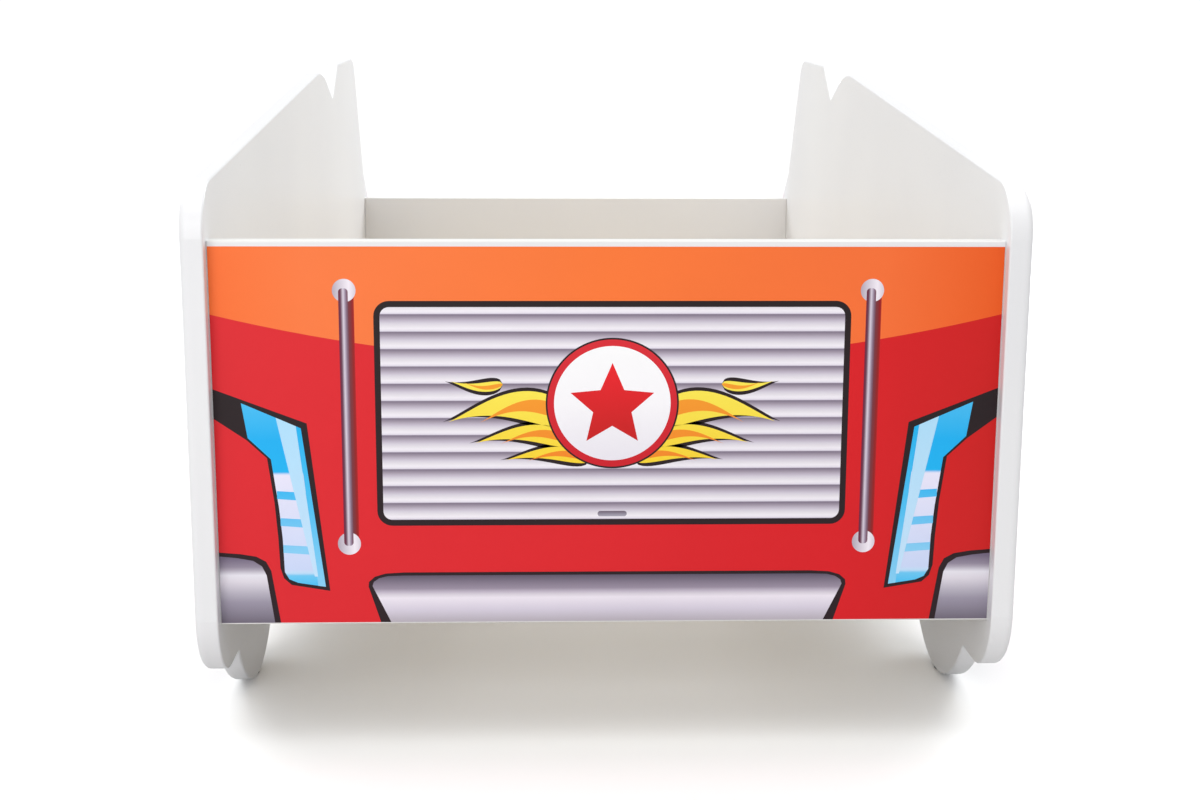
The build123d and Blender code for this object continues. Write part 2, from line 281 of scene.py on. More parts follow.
# -------------------------------------------------------------------- printed films
# Each end board and side panel has a printed PVC film on its outer face. The picture is
# laid down as thin layers of ink on the film: flat shapes with a dark border line.
FILM_BASE = 0.15
INK_STEP = 0.02
MM = 0.001


def print_ink(name, stops, axis="Z", start=0, end=1, repeat=False):
    """Ink on satin film, shaded by a row of colours from start to end, in mm along an axis."""
    material, tree, output, place = new_material(name)
    axes = add_node(tree, "ShaderNodeSeparateXYZ", {"Vector": place})
    run = add_node(
        tree,
        "ShaderNodeMapRange",
        {"Value": axes.outputs[axis], "From Min": start * MM, "From Max": end * MM},
        clamp=not repeat,
    )
    share = run.outputs["Result"]
    if repeat:
        share = add_node(tree, "ShaderNodeMath", {0: share}, operation="FRACT").outputs["Value"]
    colour = add_node(tree, "ShaderNodeValToRGB", {"Fac": share}, stops=stops)
    spread = add_node(tree, "ShaderNodeTexNoise", {"Vector": place, "Scale": 14, "Detail": 4})
    uneven = add_node(
        tree,
        "ShaderNodeMapRange",
        {"Value": spread.outputs["Fac"], "To Min": 0.97, "To Max": 1.03},
    )
    tinted = add_node(
        tree,
        "ShaderNodeHueSaturation",
        {"Color": colour.outputs["Color"], "Value": uneven.outputs["Result"]},
    )
    skin = add_node(tree, "ShaderNodeTexNoise", {"Vector": place, "Scale": 900, "Detail": 2})
    bump = add_node(
        tree,
        "ShaderNodeBump",
        {"Height": skin.outputs["Fac"], "Strength": 0.08, "Distance": 1e-4},
    )
    gloss = add_node(
        tree,
        "ShaderNodeMapRange",
        {"Value": skin.outputs["Fac"], "To Min": 0.4, "To Max": 0.52},
    )
    shader = add_node(
        tree,
        "ShaderNodeBsdfPrincipled",
        {
            "Base Color": tinted.outputs["Color"],
            "Roughness": gloss.outputs["Result"],
            "IOR": 1.48,
            "Normal": bump.outputs["Normal"],
        },
    )
    shader.inputs["Specular IOR Level"].default_value = 0.35
    tree.links.new(shader.outputs["BSDF"], output.inputs["Surface"])
    return material


class PrintedFilm:
    """A film being printed. Shapes are in mm: across the film, and up from the floor."""

    def __init__(self, node, across, direction=1):
        self.node = node
        self.direction = direction
        across = Vector(across)
        up = Vector((0, 0, 1))
        out = across.cross(up)
        low, high = (Vector(corner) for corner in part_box(node))
        board = min(low.dot(out), high.dot(out))
        columns = Matrix((across, up, out)).transposed().to_4x4()
        self.placing = Matrix.Translation(out * board) @ columns @ Matrix.Scale(MM, 4)
        self.mesh = bmesh.new()
        self.inks = []

    def whole(self):
        """The film's outer face as one flat shape, taken from its CAD node."""
        flat = bmesh.new()
        flat.from_mesh(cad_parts[self.node].data)
        flat.transform(self.placing.inverted())
        bmesh.ops.remove_doubles(flat, verts=flat.verts, dist=1e-3)
        inside = [v for v in flat.verts if v.co.z < FILM_BASE]
        bmesh.ops.delete(flat, geom=inside, context="VERTS")
        bmesh.ops.dissolve_faces(flat, faces=flat.faces[:])
        for vertex in flat.verts:
            vertex.co.z = 0
        return flat

    def polygon(self, points, rounding=0):
        """A flat shape given by its corners, which may be rounded."""
        flat = bmesh.new()
        flat.faces.new([flat.verts.new((self.direction * x, y, 0)) for x, y in points])
        if rounding:
            bmesh.ops.bevel(
                flat,
                geom=flat.verts[:],
                offset=rounding,
                segments=8,
                profile=0.5,
                affect="VERTICES",
                material=-1,
            )
        return flat

    def disc(self, centre, radius):
        """A flat round shape."""
        flat = bmesh.new()
        bmesh.ops.create_circle(flat, cap_ends=True, segments=96, radius=radius)
        bmesh.ops.translate(flat, verts=flat.verts, vec=(self.direction * centre[0], centre[1], 0))
        return flat

    def cut(self, flat, *lines):
        """Cuts a flat shape by lines: each a point on the line, and the way to what is cut off."""
        for (x, y), (towards_x, towards_y) in lines:
            bmesh.ops.bisect_plane(
                flat,
                geom=flat.verts[:] + flat.edges[:] + flat.faces[:],
                plane_co=(self.direction * x, y, 0),
                plane_no=(self.direction * towards_x, towards_y, 0),
                clear_outer=True,
            )
        return flat

    def lay(self, flat, ink, layer, border=0, border_ink=None):
        """Lays a flat shape on the film as a layer of ink, with a border line inside its edge."""
        bottom = FILM_BASE + INK_STEP * (layer - 1) if layer else 0
        thickness = INK_STEP if layer else FILM_BASE
        for face in flat.faces:
            face.material_index = self.slot(ink)
        if border:
            edge = bmesh.ops.inset_region(
                flat,
                faces=flat.faces[:],
                thickness=border,
                use_boundary=True,
                use_even_offset=True,
            )
            for face in edge["faces"]:
                face.material_index = self.slot(border_ink)
        raised = bmesh.ops.extrude_face_region(flat, geom=flat.faces[:], use_keep_orig=True)
        tops = [item for item in raised["geom"] if isinstance(item, bmesh.types.BMVert)]
        bmesh.ops.translate(flat, verts=tops, vec=(0, 0, thickness))
        bmesh.ops.translate(flat, verts=flat.verts, vec=(0, 0, bottom))
        bmesh.ops.recalc_face_normals(flat, faces=flat.faces)
        laid = bpy.data.meshes.new("laid")
        flat.to_mesh(laid)
        flat.free()
        self.mesh.from_mesh(laid)
        bpy.data.meshes.remove(laid)

    def slot(self, ink):
        """The number of an ink among the film's materials."""
        if ink not in self.inks:
            self.inks.append(ink)
        return self.inks.index(ink)

    def finish(self, name):
        """Makes the printed film an object that stands for its CAD node."""
        self.mesh.transform(self.placing)
        data = bpy.data.meshes.new(name)
        self.mesh.to_mesh(data)
        for ink in self.inks:
            data.materials.append(ink)
        piece = bpy.data.objects.new(name, data)
        scene.collection.objects.link(piece)
        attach(piece, "root")
        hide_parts(self.node)


def rectangle(left, right, bottom, top):
    """Corners of an upright rectangle."""
    return [(left, bottom), (right, bottom), (right, top), (left, top)]


def mirrored(points, middle):
    """Corners on the other side of an upright line."""
    return [(2 * middle - x, y) for x, y in points]


outline_ink = print_ink("ink_plum_black", [(0, "#220814"), (1, "#140808")], "Z", 0, 600)

# ---------------------------------------------------------------- tail board's film
# The truck's tail: orange over red, a roller shutter between two grab rails, lamps at
# the corners, and bumpers along the bottom.
# The red and the orange change from left to right across the film. This is partly the print's own
# gradient and partly painted shade and highlight: the orange is lightest left of the middle, and
# both darken towards the right edge.
red_ink_with_painted_shade = print_ink(
    "ink_red",
    [(0, "#d91a25"), (0.45, "#da1620"), (0.8, "#d50816"), (1, "#c80808")],
    "X",
    -360,
    360,
)
orange_ink_with_painted_light = print_ink(
    "ink_orange",
    [(0, "#f46e2b"), (0.12, "#f4773a"), (0.5, "#f5742e"), (0.85, "#f16c2e"), (1, "#e7580e")],
    "X",
    -360,
    360,
)
ORANGE_LOW = 374
ORANGE_RISE = 44
ORANGE_STEPS = 32

tail = PrintedFilm("rear_end_film", (1, 0, 0))
half_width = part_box("rear_end_film")[1][0] / MM
film_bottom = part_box("rear_end_film")[0][2] / MM
film_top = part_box("rear_end_film")[1][2] / MM
tail.lay(tail.whole(), red_ink_with_painted_shade, 0)
sagging_edge = []
for step in range(ORANGE_STEPS + 1):
    share = 2 * step / ORANGE_STEPS - 1
    sagging_edge.append((half_width * share, ORANGE_LOW + ORANGE_RISE * share**2))
orange_band = sagging_edge + [(half_width, film_top), (-half_width, film_top)]
tail.lay(tail.polygon(orange_band), orange_ink_with_painted_light, 1)

# Roller shutter: thirteen ribs, each dark under the one above, in a dark rounded frame,
# with a slot handle at the bottom.
SHUTTER_LINE = 5.6
SHUTTER_CORNER = 14
SHUTTER_MIDDLE = 4.4
SHUTTER_HALF = 216.8
SHUTTER_BOTTOM = 220.5
SHUTTER_TOP = 430.3
RIB_PITCH = 16
RIB_TOP = 418.2
rib_ink = print_ink(
    "ink_shutter_ribs",
    [
        (0, "#7f7385"),
        (0.08, "#867b8c"),
        (0.2, "#9f94a3"),
        (0.36, "#bdb3c3"),
        (0.52, "#d4ced9"),
        (0.68, "#e3dee5"),
        (0.82, "#eee9f0"),
        (0.94, "#e2dce7"),
        (1, "#bab3c4"),
    ],
    "Z",
    RIB_TOP,
    RIB_TOP - RIB_PITCH,
    repeat=True,
)
slot_ink = print_ink("ink_handle_slot", [(0, "#6b5f70"), (1, "#a8a5b4")], "Z", 233.5, 228.5)


def lay_shutter(film, left, right, bottom, top):
    """A roller shutter with its frame and its slot handle."""
    frame_shape = film.polygon(rectangle(left, right, bottom, top), rounding=SHUTTER_CORNER)
    film.lay(frame_shape, rib_ink, 2, border=SHUTTER_LINE, border_ink=outline_ink)
    middle = (left + right) / 2
    slot_shape = rectangle(middle - 13.5, middle + 13.5, bottom + 8.2, bottom + 13.4)
    film.lay(film.polygon(slot_shape, rounding=2.5), slot_ink, 3)


lay_shutter(
    tail,
    SHUTTER_MIDDLE - SHUTTER_HALF,
    SHUTTER_MIDDLE + SHUTTER_HALF,
    SHUTTER_BOTTOM,
    SHUTTER_TOP,
)

# Grab rails: a shaded bar between two round flanges, with its shadow to the right.
RAIL_TOP = 439.8
RAIL_BOTTOM = 203.5
RAIL_WIDTH = 8.6
RAIL_SHADOW = 5.2
FLANGE_RADIUS = 10.6
for side, x in (("left", -239.2), ("right", 238.9)):
    edge = x + RAIL_WIDTH / 2
    bar_ink = print_ink(
        f"ink_rail_{side}",
        [
            (0, "#6c1139"),
            (0.14, "#64253f"),
            (0.25, "#6a4559"),
            (0.38, "#a796a4"),
            (0.5, "#d4c9d7"),
            (0.62, "#b8acbd"),
            (0.74, "#948196"),
            (0.86, "#7d6073"),
            (1, "#704151"),
        ],
        "X",
        x - RAIL_WIDTH / 2,
        edge,
    )
    shadow_ink = print_ink(
        f"ink_rail_shadow_{side}",
        [(0, "#74313a"), (0.35, "#7c272e"), (0.75, "#900b08"), (1, "#aa181e")],
        "X",
        edge,
        edge + RAIL_SHADOW,
    )
    flange_ink = print_ink(
        f"ink_flange_{side}",
        [(0, "#aba0ae"), (0.35, "#cfc6d2"), (0.75, "#efe7f0"), (1, "#d6ccd7")],
        "X",
        x - FLANGE_RADIUS,
        x + FLANGE_RADIUS,
    )
    shadow = rectangle(edge, edge + RAIL_SHADOW, RAIL_BOTTOM, RAIL_TOP)
    tail.lay(tail.polygon(shadow), shadow_ink, 2)
    tail.lay(tail.disc((x + 0.8, RAIL_TOP), FLANGE_RADIUS), flange_ink, 3)
    tail.lay(tail.disc((x + 0.4, RAIL_BOTTOM), FLANGE_RADIUS), flange_ink, 3)
    bar = rectangle(x - RAIL_WIDTH / 2, edge, RAIL_BOTTOM - 2, RAIL_TOP + 2)
    tail.lay(tail.polygon(bar, rounding=3.4), bar_ink, 4)

# Corner lamps: a bent lens in a black surround that runs off the edge of the film. The
# lens is blue above and white below, with three blue bars and a pale streak down it.
LAMPS_MIDDLE = 1.3
LAMP_SURROUND = [
    (-half_width, 349.5),
    (-275, 317.5),
    (-257.5, 158),
    (-293, 164),
    (-300, 170.5),
    (-303, 180.5),
    (-304, 208.5),
    (-306.5, 243),
    (-312, 285),
    (-330, 302),
    (-half_width, 322),
]
LAMP_LENS = [
    (-334, 336.5),
    (-280.5, 313),
    (-261.5, 162),
    (-287, 166),
    (-295, 169.5),
    (-299, 176.5),
    (-300, 208.5),
    (-302.5, 238),
    (-308.5, 284),
    (-329, 304),
]
LAMP_EDGE = [(-284, 314.5), (-280.5, 313), (-261.5, 162), (-268.5, 163)]
LAMP_STREAK = [(-303, 323), (-285, 315), (-268.5, 172), (-271.5, 172)]
lens_ink = print_ink(
    "ink_lamp_lens",
    [
        (0, "#43baee"),
        (0.2, "#08aded"),
        (0.37, "#08b0ee"),
        (0.385, "#e5e2f5"),
        (0.9, "#c8d5f4"),
        (0.92, "#bfdbf5"),
        (0.935, "#6ac6f1"),
        (1, "#3cbaef"),
    ],
    "Z",
    336.5,
    161.5,
)
lamp_bar_ink = print_ink("ink_lamp_bar", [(0, "#2ab5ef"), (1, "#86ccf2")], "Z", 258, 193.5)
lamp_edge_ink = print_ink(
    "ink_lamp_edge", [(0, "#08b0ec"), (0.5, "#47bcef"), (1, "#85ccf1")], "Z", 314.5, 162
)
streak_ink = print_ink("ink_lamp_streak", [(0, "#acdbf6"), (1, "#c2dff7")], "Z", 322.5, 168.5)
lamp_shapes = [(LAMP_SURROUND, outline_ink, 1), (LAMP_LENS, lens_ink, 2)]
for top, left, right in ((254, -304, -273), (228.3, -301.5, -270), (202.5, -299.7, -267)):
    bar = [(left, top - 7.5), (right, top - 10), (right, top - 2), (left, top)]
    lamp_shapes.append((bar, lamp_bar_ink, 3))
lamp_shapes += [(LAMP_EDGE, lamp_edge_ink, 4), (LAMP_STREAK, streak_ink, 5)]
for shape, ink, layer in lamp_shapes:
    tail.lay(tail.polygon(shape), ink, layer)
    other_side = [(min(x, half_width), y) for x, y in mirrored(shape, LAMPS_MIDDLE)]
    tail.lay(tail.polygon(other_side), ink, layer)

# Bumpers: steel shading in a black line that widens downwards. Two corner pieces run
# off the edge of the film, and one piece lies between them.
CORNER_LINE = [
    (-half_width, 195.5),
    (-340, 194),
    (-325, 191.5),
    (-316, 186.5),
    (-311.5, 177.5),
    (-304, film_bottom),
    (-half_width, film_bottom),
]
CORNER_STEEL = [
    (-half_width, 191.8),
    (-342, 190),
    (-328, 187.4),
    (-320, 182),
    (-316, 173.5),
    (-309.5, film_bottom),
    (-half_width, film_bottom),
]
CENTRE_LINE = [
    (-212, film_bottom),
    (-223, 162),
    (-222.5, 166.5),
    (-217, 171.5),
    (-207, 174.5),
    (-190, 175.5),
]
CENTRE_STEEL = [
    (-202.5, film_bottom),
    (-219.3, 162.5),
    (-218, 166.5),
    (-213, 170),
    (-205, 172),
    (-190, 172.5),
]
corner_ink = print_ink(
    "ink_corner_steel",
    [
        (0, "#70647c"),
        (0.13, "#908698"),
        (0.18, "#ada5b4"),
        (0.26, "#e4e1ea"),
        (0.36, "#dbd5df"),
        (0.55, "#b3adbb"),
        (0.68, "#9891a2"),
        (1, "#6e6675"),
    ],
    "Z",
    189.5,
    128,
)
bumper_ink = print_ink(
    "ink_bumper_steel",
    [
        (0, "#584e62"),
        (0.29, "#978b9d"),
        (0.36, "#bdb2c3"),
        (0.42, "#d6ced9"),
        (0.49, "#ebe3ee"),
        (0.75, "#d3cbda"),
        (1, "#b4acb6"),
    ],
    "Z",
    172.5,
    128,
)


def lay_bumpers(film, middle):
    """The corner bumpers and the one between them."""
    for corner, ink, layer in ((CORNER_LINE, outline_ink, 2), (CORNER_STEEL, corner_ink, 3)):
        film.lay(film.polygon(corner), ink, layer)
        film.lay(film.polygon(mirrored(corner, 0)), ink, layer)
    for half, ink, layer in ((CENTRE_LINE, outline_ink, 2), (CENTRE_STEEL, bumper_ink, 3)):
        shape = [(x + middle, y) for x, y in half]
        other_half = mirrored(shape, middle)[::-1]
        film.lay(film.polygon(shape + other_half), ink, layer)


lay_bumpers(tail, 1)

# Badge: a plain star on a white disc with a red ring, and yellow and orange flames that
# stream out behind it on each side.
BADGE_RADIUS = 61
BADGE_RING = 6
BADGE_LINE = 1.6
STAR_POINTS = 5
STAR_INSET = 0.46
badge_white = print_ink(
    "ink_badge_white", [(0, "#e2dde7"), (0.5, "#f4f2f5"), (1, "#f8f8f8")], "Z", 270, 400
)
badge_red = print_ink("ink_badge_red", [(0, "#c8081e"), (1, "#d6222e")], "Z", 270, 400)
star_red = print_ink("ink_star_red", [(0, "#c10808"), (1, "#e7111e")], "Z", 300, 370)
yellow_ink = print_ink("ink_yellow", [(0, "#f4ce28"), (1, "#f6e24d")], "Z", 275, 345)
amber_ink = print_ink("ink_amber", [(0, "#ee8118"), (1, "#f29822")], "Z", 275, 345)


def lay_badge(film, centre, radius, layer):
    """A disc with a ring and a star in it."""
    film.lay(film.disc(centre, radius), outline_ink, layer)
    ring = radius * BADGE_RING / BADGE_RADIUS
    disc = film.disc(centre, radius - BADGE_LINE)
    film.lay(disc, badge_white, layer + 1, border=ring, border_ink=badge_red)
    star = []
    for corner in range(2 * STAR_POINTS):
        reach = radius * 0.66 * (1 if corner % 2 == 0 else STAR_INSET)
        turn = pi * corner / STAR_POINTS
        star.append((centre[0] - reach * sin(turn), centre[1] - radius * 0.04 + reach * cos(turn)))
    star_line = BADGE_LINE * 0.8
    film.lay(film.polygon(star), star_red, layer + 2, border=star_line, border_ink=outline_ink)


BADGE_CENTRE = (4, 335.5)


def flame(root, tip, width, bend):
    """Corners of a curved flame, pointed at its root and drawn out to its tip."""
    upper, lower = [], []
    for step in range(1, FLAME_STEPS):
        share = step / FLAME_STEPS
        x = root[0] + (tip[0] - root[0]) * share
        y = root[1] + (tip[1] - root[1]) * share + bend * sin(pi * share)
        half = 1.54 * width * share**0.5 * (1 - share) ** 1.5
        upper.append((x, y + half))
        lower.append((x, y - half))
    return [root] + upper + [tip] + lower[::-1]


FLAME_STEPS = 20
FLAME_LINE = 7
for rise, root, tip, lift, width, bend in (
    (18, 100, 148, 21, 9, -4),
    (-14, 36, 150, -17, 30, 14),
    (-36, 34, 126, -37, 18, 9),
    (-52, 20, 98, -53, 14, 6),
):
    for side in (-1, 1):
        start = (BADGE_CENTRE[0] + side * root, BADGE_CENTRE[1] + rise)
        end = (BADGE_CENTRE[0] + side * tip, BADGE_CENTRE[1] + lift)
        line_end = (end[0] + side * 5, end[1])
        core_end = (end[0] - side * (tip - root) / 4, end[1] - 1)
        tail.lay(tail.polygon(flame(start, line_end, width + FLAME_LINE, bend)), outline_ink, 3)
        tail.lay(tail.polygon(flame(start, end, width, bend)), yellow_ink, 4)
        tail.lay(tail.polygon(flame(start, core_end, width * 0.45, bend)), amber_ink, 5)
lay_badge(tail, BADGE_CENTRE, BADGE_RADIUS, 6)

tail.finish("tail_film_print")

# -------------------------------------------------------------- cab board's film
# The truck's front, below the windscreen: a grille of steel bars between two headlamps,
# with amber indicators under them and the same bumpers as the tail.
GRILLE_HALF = 165
GRILLE_BOTTOM = 205
GRILLE_TOP = 350
GRILLE_BARS = 6
grille_dark = print_ink(
    "ink_grille_shadow", [(0, "#23162b"), (1, "#483e4f")], "Z", GRILLE_BOTTOM, GRILLE_TOP
)
grille_bar_pitch = (GRILLE_TOP - GRILLE_BOTTOM - 20) / GRILLE_BARS
bar_steel = print_ink(
    "ink_grille_bars",
    [(0, "#817689"), (0.2, "#e2dce5"), (0.4, "#eee9f0"), (0.7, "#a096a6"), (1, "#706579")],
    "Z",
    GRILLE_TOP - 10,
    GRILLE_TOP - 10 - grille_bar_pitch,
    repeat=True,
)
headlamp_ink = print_ink(
    "ink_headlamp_glass",
    [(0, "#3fb9ee"), (0.3, "#a1d8f4"), (0.6, "#dde5f5"), (1, "#bcd5f4")],
    "Z",
    330,
    240,
)
reflector_ink = print_ink(
    "ink_reflector",
    [(0, "#f1eff4"), (0.5, "#d0cbd8"), (1, "#a099ab")],
    "Z",
    315,
    255,
)
indicator_ink = print_ink("ink_indicator", [(0, "#f4a839"), (1, "#e98108")], "Z", 226, 208)

nose = PrintedFilm("front_end_film", (-1, 0, 0))
nose.lay(nose.whole(), red_ink_with_painted_shade, 0)
grille = rectangle(-GRILLE_HALF, GRILLE_HALF, GRILLE_BOTTOM, GRILLE_TOP)
nose.lay(nose.polygon(grille, rounding=16), grille_dark, 1, border=5, border_ink=outline_ink)
for index in range(GRILLE_BARS):
    top = GRILLE_TOP - 10 - grille_bar_pitch * index
    bar = rectangle(12 - GRILLE_HALF, GRILLE_HALF - 12, top - 0.62 * grille_bar_pitch, top)
    nose.lay(nose.polygon(bar, rounding=5), bar_steel, 2)
for side in (-1, 1):
    lamp = rectangle(*sorted((side * 205, side * 330)), 240, 330)
    nose.lay(nose.polygon(lamp, rounding=24), headlamp_ink, 1, border=5, border_ink=outline_ink)
    nose.lay(nose.disc((side * 250, 285), 31), reflector_ink, 2, border=3, border_ink=outline_ink)
    streak = [(side * 290, 247), (side * 300, 247), (side * 318, 318), (side * 306, 322)]
    nose.lay(nose.polygon(streak), streak_ink, 2)
    indicator = rectangle(*sorted((side * 212, side * 322)), 205, 229)
    lens = nose.polygon(indicator, rounding=9)
    nose.lay(lens, indicator_ink, 1, border=3.5, border_ink=outline_ink)
lay_bumpers(nose, 0)
nose.finish("nose_film_print")

# ------------------------------------------------------------- side panels' films
# The truck's sides: the tail's orange and red carried on round the corner, shuttered
# lockers, a ladder, a cab with its door and window, and wheels where the panel has them.
panel_low, panel_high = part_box("left_side_panel")
REAR = panel_low[1] / MM
LENGTH = (panel_high[1] - panel_low[1]) / MM
FILM_INSET = 8
WHEEL_CENTRES = (226, LENGTH - 280)
WHEEL_HEIGHT = 144.5
TYRE_RADIUS = 134
ARCH_RADIUS = 150
SILL = 68 + FILM_INSET
side_red = print_ink(
    "ink_red_side", [(0, "#c8080e"), (0.4, "#d60b1c"), (1, "#da1e2a")], "Z", 70, 420
)
side_orange = print_ink(
    "ink_orange_side", [(0, "#f16c2e"), (0.5, "#f5742e"), (1, "#f4773a")], "Z", 400, 600
)
tyre_ink = print_ink("ink_tyre", [(0, "#080808"), (0.7, "#0b0816"), (1, "#393141")], "Z", 10, 280)
wheel_steel = print_ink(
    "ink_wheel_steel",
    [(0, "#736a7f"), (0.3, "#b1aaba"), (0.55, "#eae5ed"), (0.8, "#c8c1ce"), (1, "#92889b")],
    "Z",
    60,
    230,
)
hub_steel = print_ink(
    "ink_hub_steel",
    [(0, "#eae5ed"), (0.5, "#aca4b5"), (1, "#82798b")],
    "Z",
    100,
    190,
)
window_ink = print_ink(
    "ink_cab_window",
    [(0, "#c8dff5"), (0.45, "#84cdf3"), (1, "#1ab3ee")],
    "Z",
    450,
    600,
)
sill_steel = print_ink(
    "ink_sill_steel",
    [(0, "#81778b"), (0.5, "#dfd9e3"), (0.75, "#c2b9c8"), (1, "#847b8d")],
    "Z",
    SILL,
    118,
)
ladder_steel = print_ink(
    "ink_ladder_steel",
    [(0, "#9f96a8"), (0.5, "#ece7ef"), (1, "#bcb4c4")],
    "Z",
    440,
    600,
)
LADDER_REAR = 80
LADDER_FRONT = 950
LADDER_LOW = 452
LADDER_HEIGHT = 42
LADDER_RAIL = 9
LADDER_RUNGS = 17
LADDER_SLOPE = 80 / 881
RUNG_MARGIN = 26
RIM_RADIUS = 86
DISH_RADIUS = 62
DISH_STEEL_RADIUS = 57
NUTS = 8
NUT_CIRCLE = 41
NUT_RADIUS = 5.5
HUB_RADIUS = 22
BUMPER_REAR = 66
BUMPER_FRONT = 1428
BUMPER_TOP = 190
SILL_TOP = 122
SILL_GAP = 158
DOOR_BADGE_CENTRE = (1250, 374)
DOOR_BADGE_RADIUS = 44


def at(station, height):
    """A point on a side film from its distance along the bed and its height."""
    return (REAR + station, height)


def span(rear, front, bottom, top):
    """A rectangle on a side film between two stations and two heights."""
    return rectangle(REAR + rear, REAR + front, bottom, top)


for side, direction in (("left", -1), ("right", 1)):
    film = PrintedFilm(f"{side}_side_film", (0, direction, 0), direction)
    film.lay(film.whole(), side_red, 0)
    film.lay(film.cut(film.whole(), ((0, ORANGE_LOW + ORANGE_RISE), (0, -1))), side_orange, 1)

    lay_shutter(film, REAR + 45, REAR + 375, 308, SHUTTER_TOP)
    lay_shutter(film, REAR + 402, REAR + 692, 150, SHUTTER_TOP)
    lay_shutter(film, REAR + 719, REAR + 1009, 150, SHUTTER_TOP)

    # The ladder lies along the deck's edge.
    for low in (LADDER_LOW, LADDER_LOW + LADDER_HEIGHT):
        high = low + (LADDER_FRONT - LADDER_REAR) * LADDER_SLOPE
        rail = [
            at(LADDER_REAR, low),
            at(LADDER_FRONT, high),
            at(LADDER_FRONT, high + LADDER_RAIL),
            at(LADDER_REAR, low + LADDER_RAIL),
        ]
        film.lay(film.polygon(rail), ladder_steel, 3, border=1.6, border_ink=outline_ink)
    rung_run = LADDER_FRONT - LADDER_REAR - 2 * RUNG_MARGIN
    for rung in range(LADDER_RUNGS):
        station = LADDER_REAR + RUNG_MARGIN + rung * rung_run / (LADDER_RUNGS - 1)
        foot = LADDER_LOW + (station - LADDER_REAR) * LADDER_SLOPE
        bar = span(station - 3.5, station + 3.5, foot + 4, foot + LADDER_HEIGHT + 4)
        film.lay(film.polygon(bar), ladder_steel, 2, border=1.4, border_ink=outline_ink)

    # The cab: a window with a pillar in it, a door with a badge, and a corner lamp.
    window = [
        at(1128, 455),
        at(1398, 455),
        at(1398, 478),
        at(1314, 592),
        at(1300, 597),
        at(1128, 590),
    ]
    film.lay(film.polygon(window, rounding=6), window_ink, 2, border=6, border_ink=outline_ink)
    wide_streak = [at(1160, 461), at(1185, 461), at(1262, 588), at(1237, 587)]
    film.lay(film.polygon(wide_streak), streak_ink, 3)
    thin_streak = [at(1196, 461), at(1206, 461), at(1283, 589), at(1273, 588.5)]
    film.lay(film.polygon(thin_streak), streak_ink, 3)
    film.lay(film.polygon(span(1318, 1326, 458, 578)), outline_ink, 4)
    door = span(1122, 1336, 308, 440)
    film.lay(film.polygon(door, rounding=14), side_red, 2, border=3.5, border_ink=outline_ink)
    handle = film.polygon(span(1138, 1172, 408, 418), rounding=4.5)
    film.lay(handle, slot_ink, 3, border=1.5, border_ink=outline_ink)
    lay_badge(film, at(*DOOR_BADGE_CENTRE), DOOR_BADGE_RADIUS, 3)
    lamp = span(1476, 1529, 238, 326)
    film.lay(film.polygon(lamp, rounding=14), headlamp_ink, 2, border=5, border_ink=outline_ink)

    # Bumpers at both corners, and a steel sill between the wheels.
    for station, way in ((BUMPER_REAR, 1), (BUMPER_FRONT, -1)):
        bumper = film.cut(film.whole(), (at(station, 0), (way, 0)), (at(0, BUMPER_TOP), (0, 1)))
        film.lay(bumper, corner_ink, 2, border=4, border_ink=outline_ink)
    sill = span(WHEEL_CENTRES[0] + SILL_GAP, WHEEL_CENTRES[1] - SILL_GAP, SILL, SILL_TOP)
    film.lay(film.polygon(sill, rounding=6), sill_steel, 2, border=4, border_ink=outline_ink)

    # Wheels: a tyre in a dark arch, a steel rim, and a hub with its nuts.
    for station in WHEEL_CENTRES:
        centre = at(station, WHEEL_HEIGHT)
        arch = film.cut(film.disc(centre, ARCH_RADIUS), ((0, SILL), (0, -1)))
        film.lay(arch, outline_ink, 1)
        film.lay(film.disc(centre, TYRE_RADIUS), tyre_ink, 2, border=3, border_ink=outline_ink)
        film.lay(film.disc(centre, RIM_RADIUS), wheel_steel, 3, border=4, border_ink=outline_ink)
        film.lay(film.disc(centre, DISH_RADIUS), grille_dark, 4)
        film.lay(film.disc(centre, DISH_STEEL_RADIUS), wheel_steel, 5)
        for nut in range(NUTS):
            turn = 2 * pi * nut / NUTS
            place = (centre[0] + NUT_CIRCLE * cos(turn), centre[1] + NUT_CIRCLE * sin(turn))
            nut_face = film.disc(place, NUT_RADIUS)
            film.lay(nut_face, hub_steel, 6, border=1.4, border_ink=outline_ink)
        film.lay(film.disc(centre, HUB_RADIUS), hub_steel, 6, border=3, border_ink=outline_ink)
    film.finish(f"{side}_film_print")

# ------------------------------------------------------------------- slats and rails
# Planed spruce: slats across the bed on two rails. The wood is bare, so its growth rings,
# fine fibres and a few knots show. The dowels, hidden in their holes, have the same look.
RING_WIDTH = 3.2e-3
FIBRE_WIDTH = 0.35e-3
KNOT_COLOUR = "#96683f"


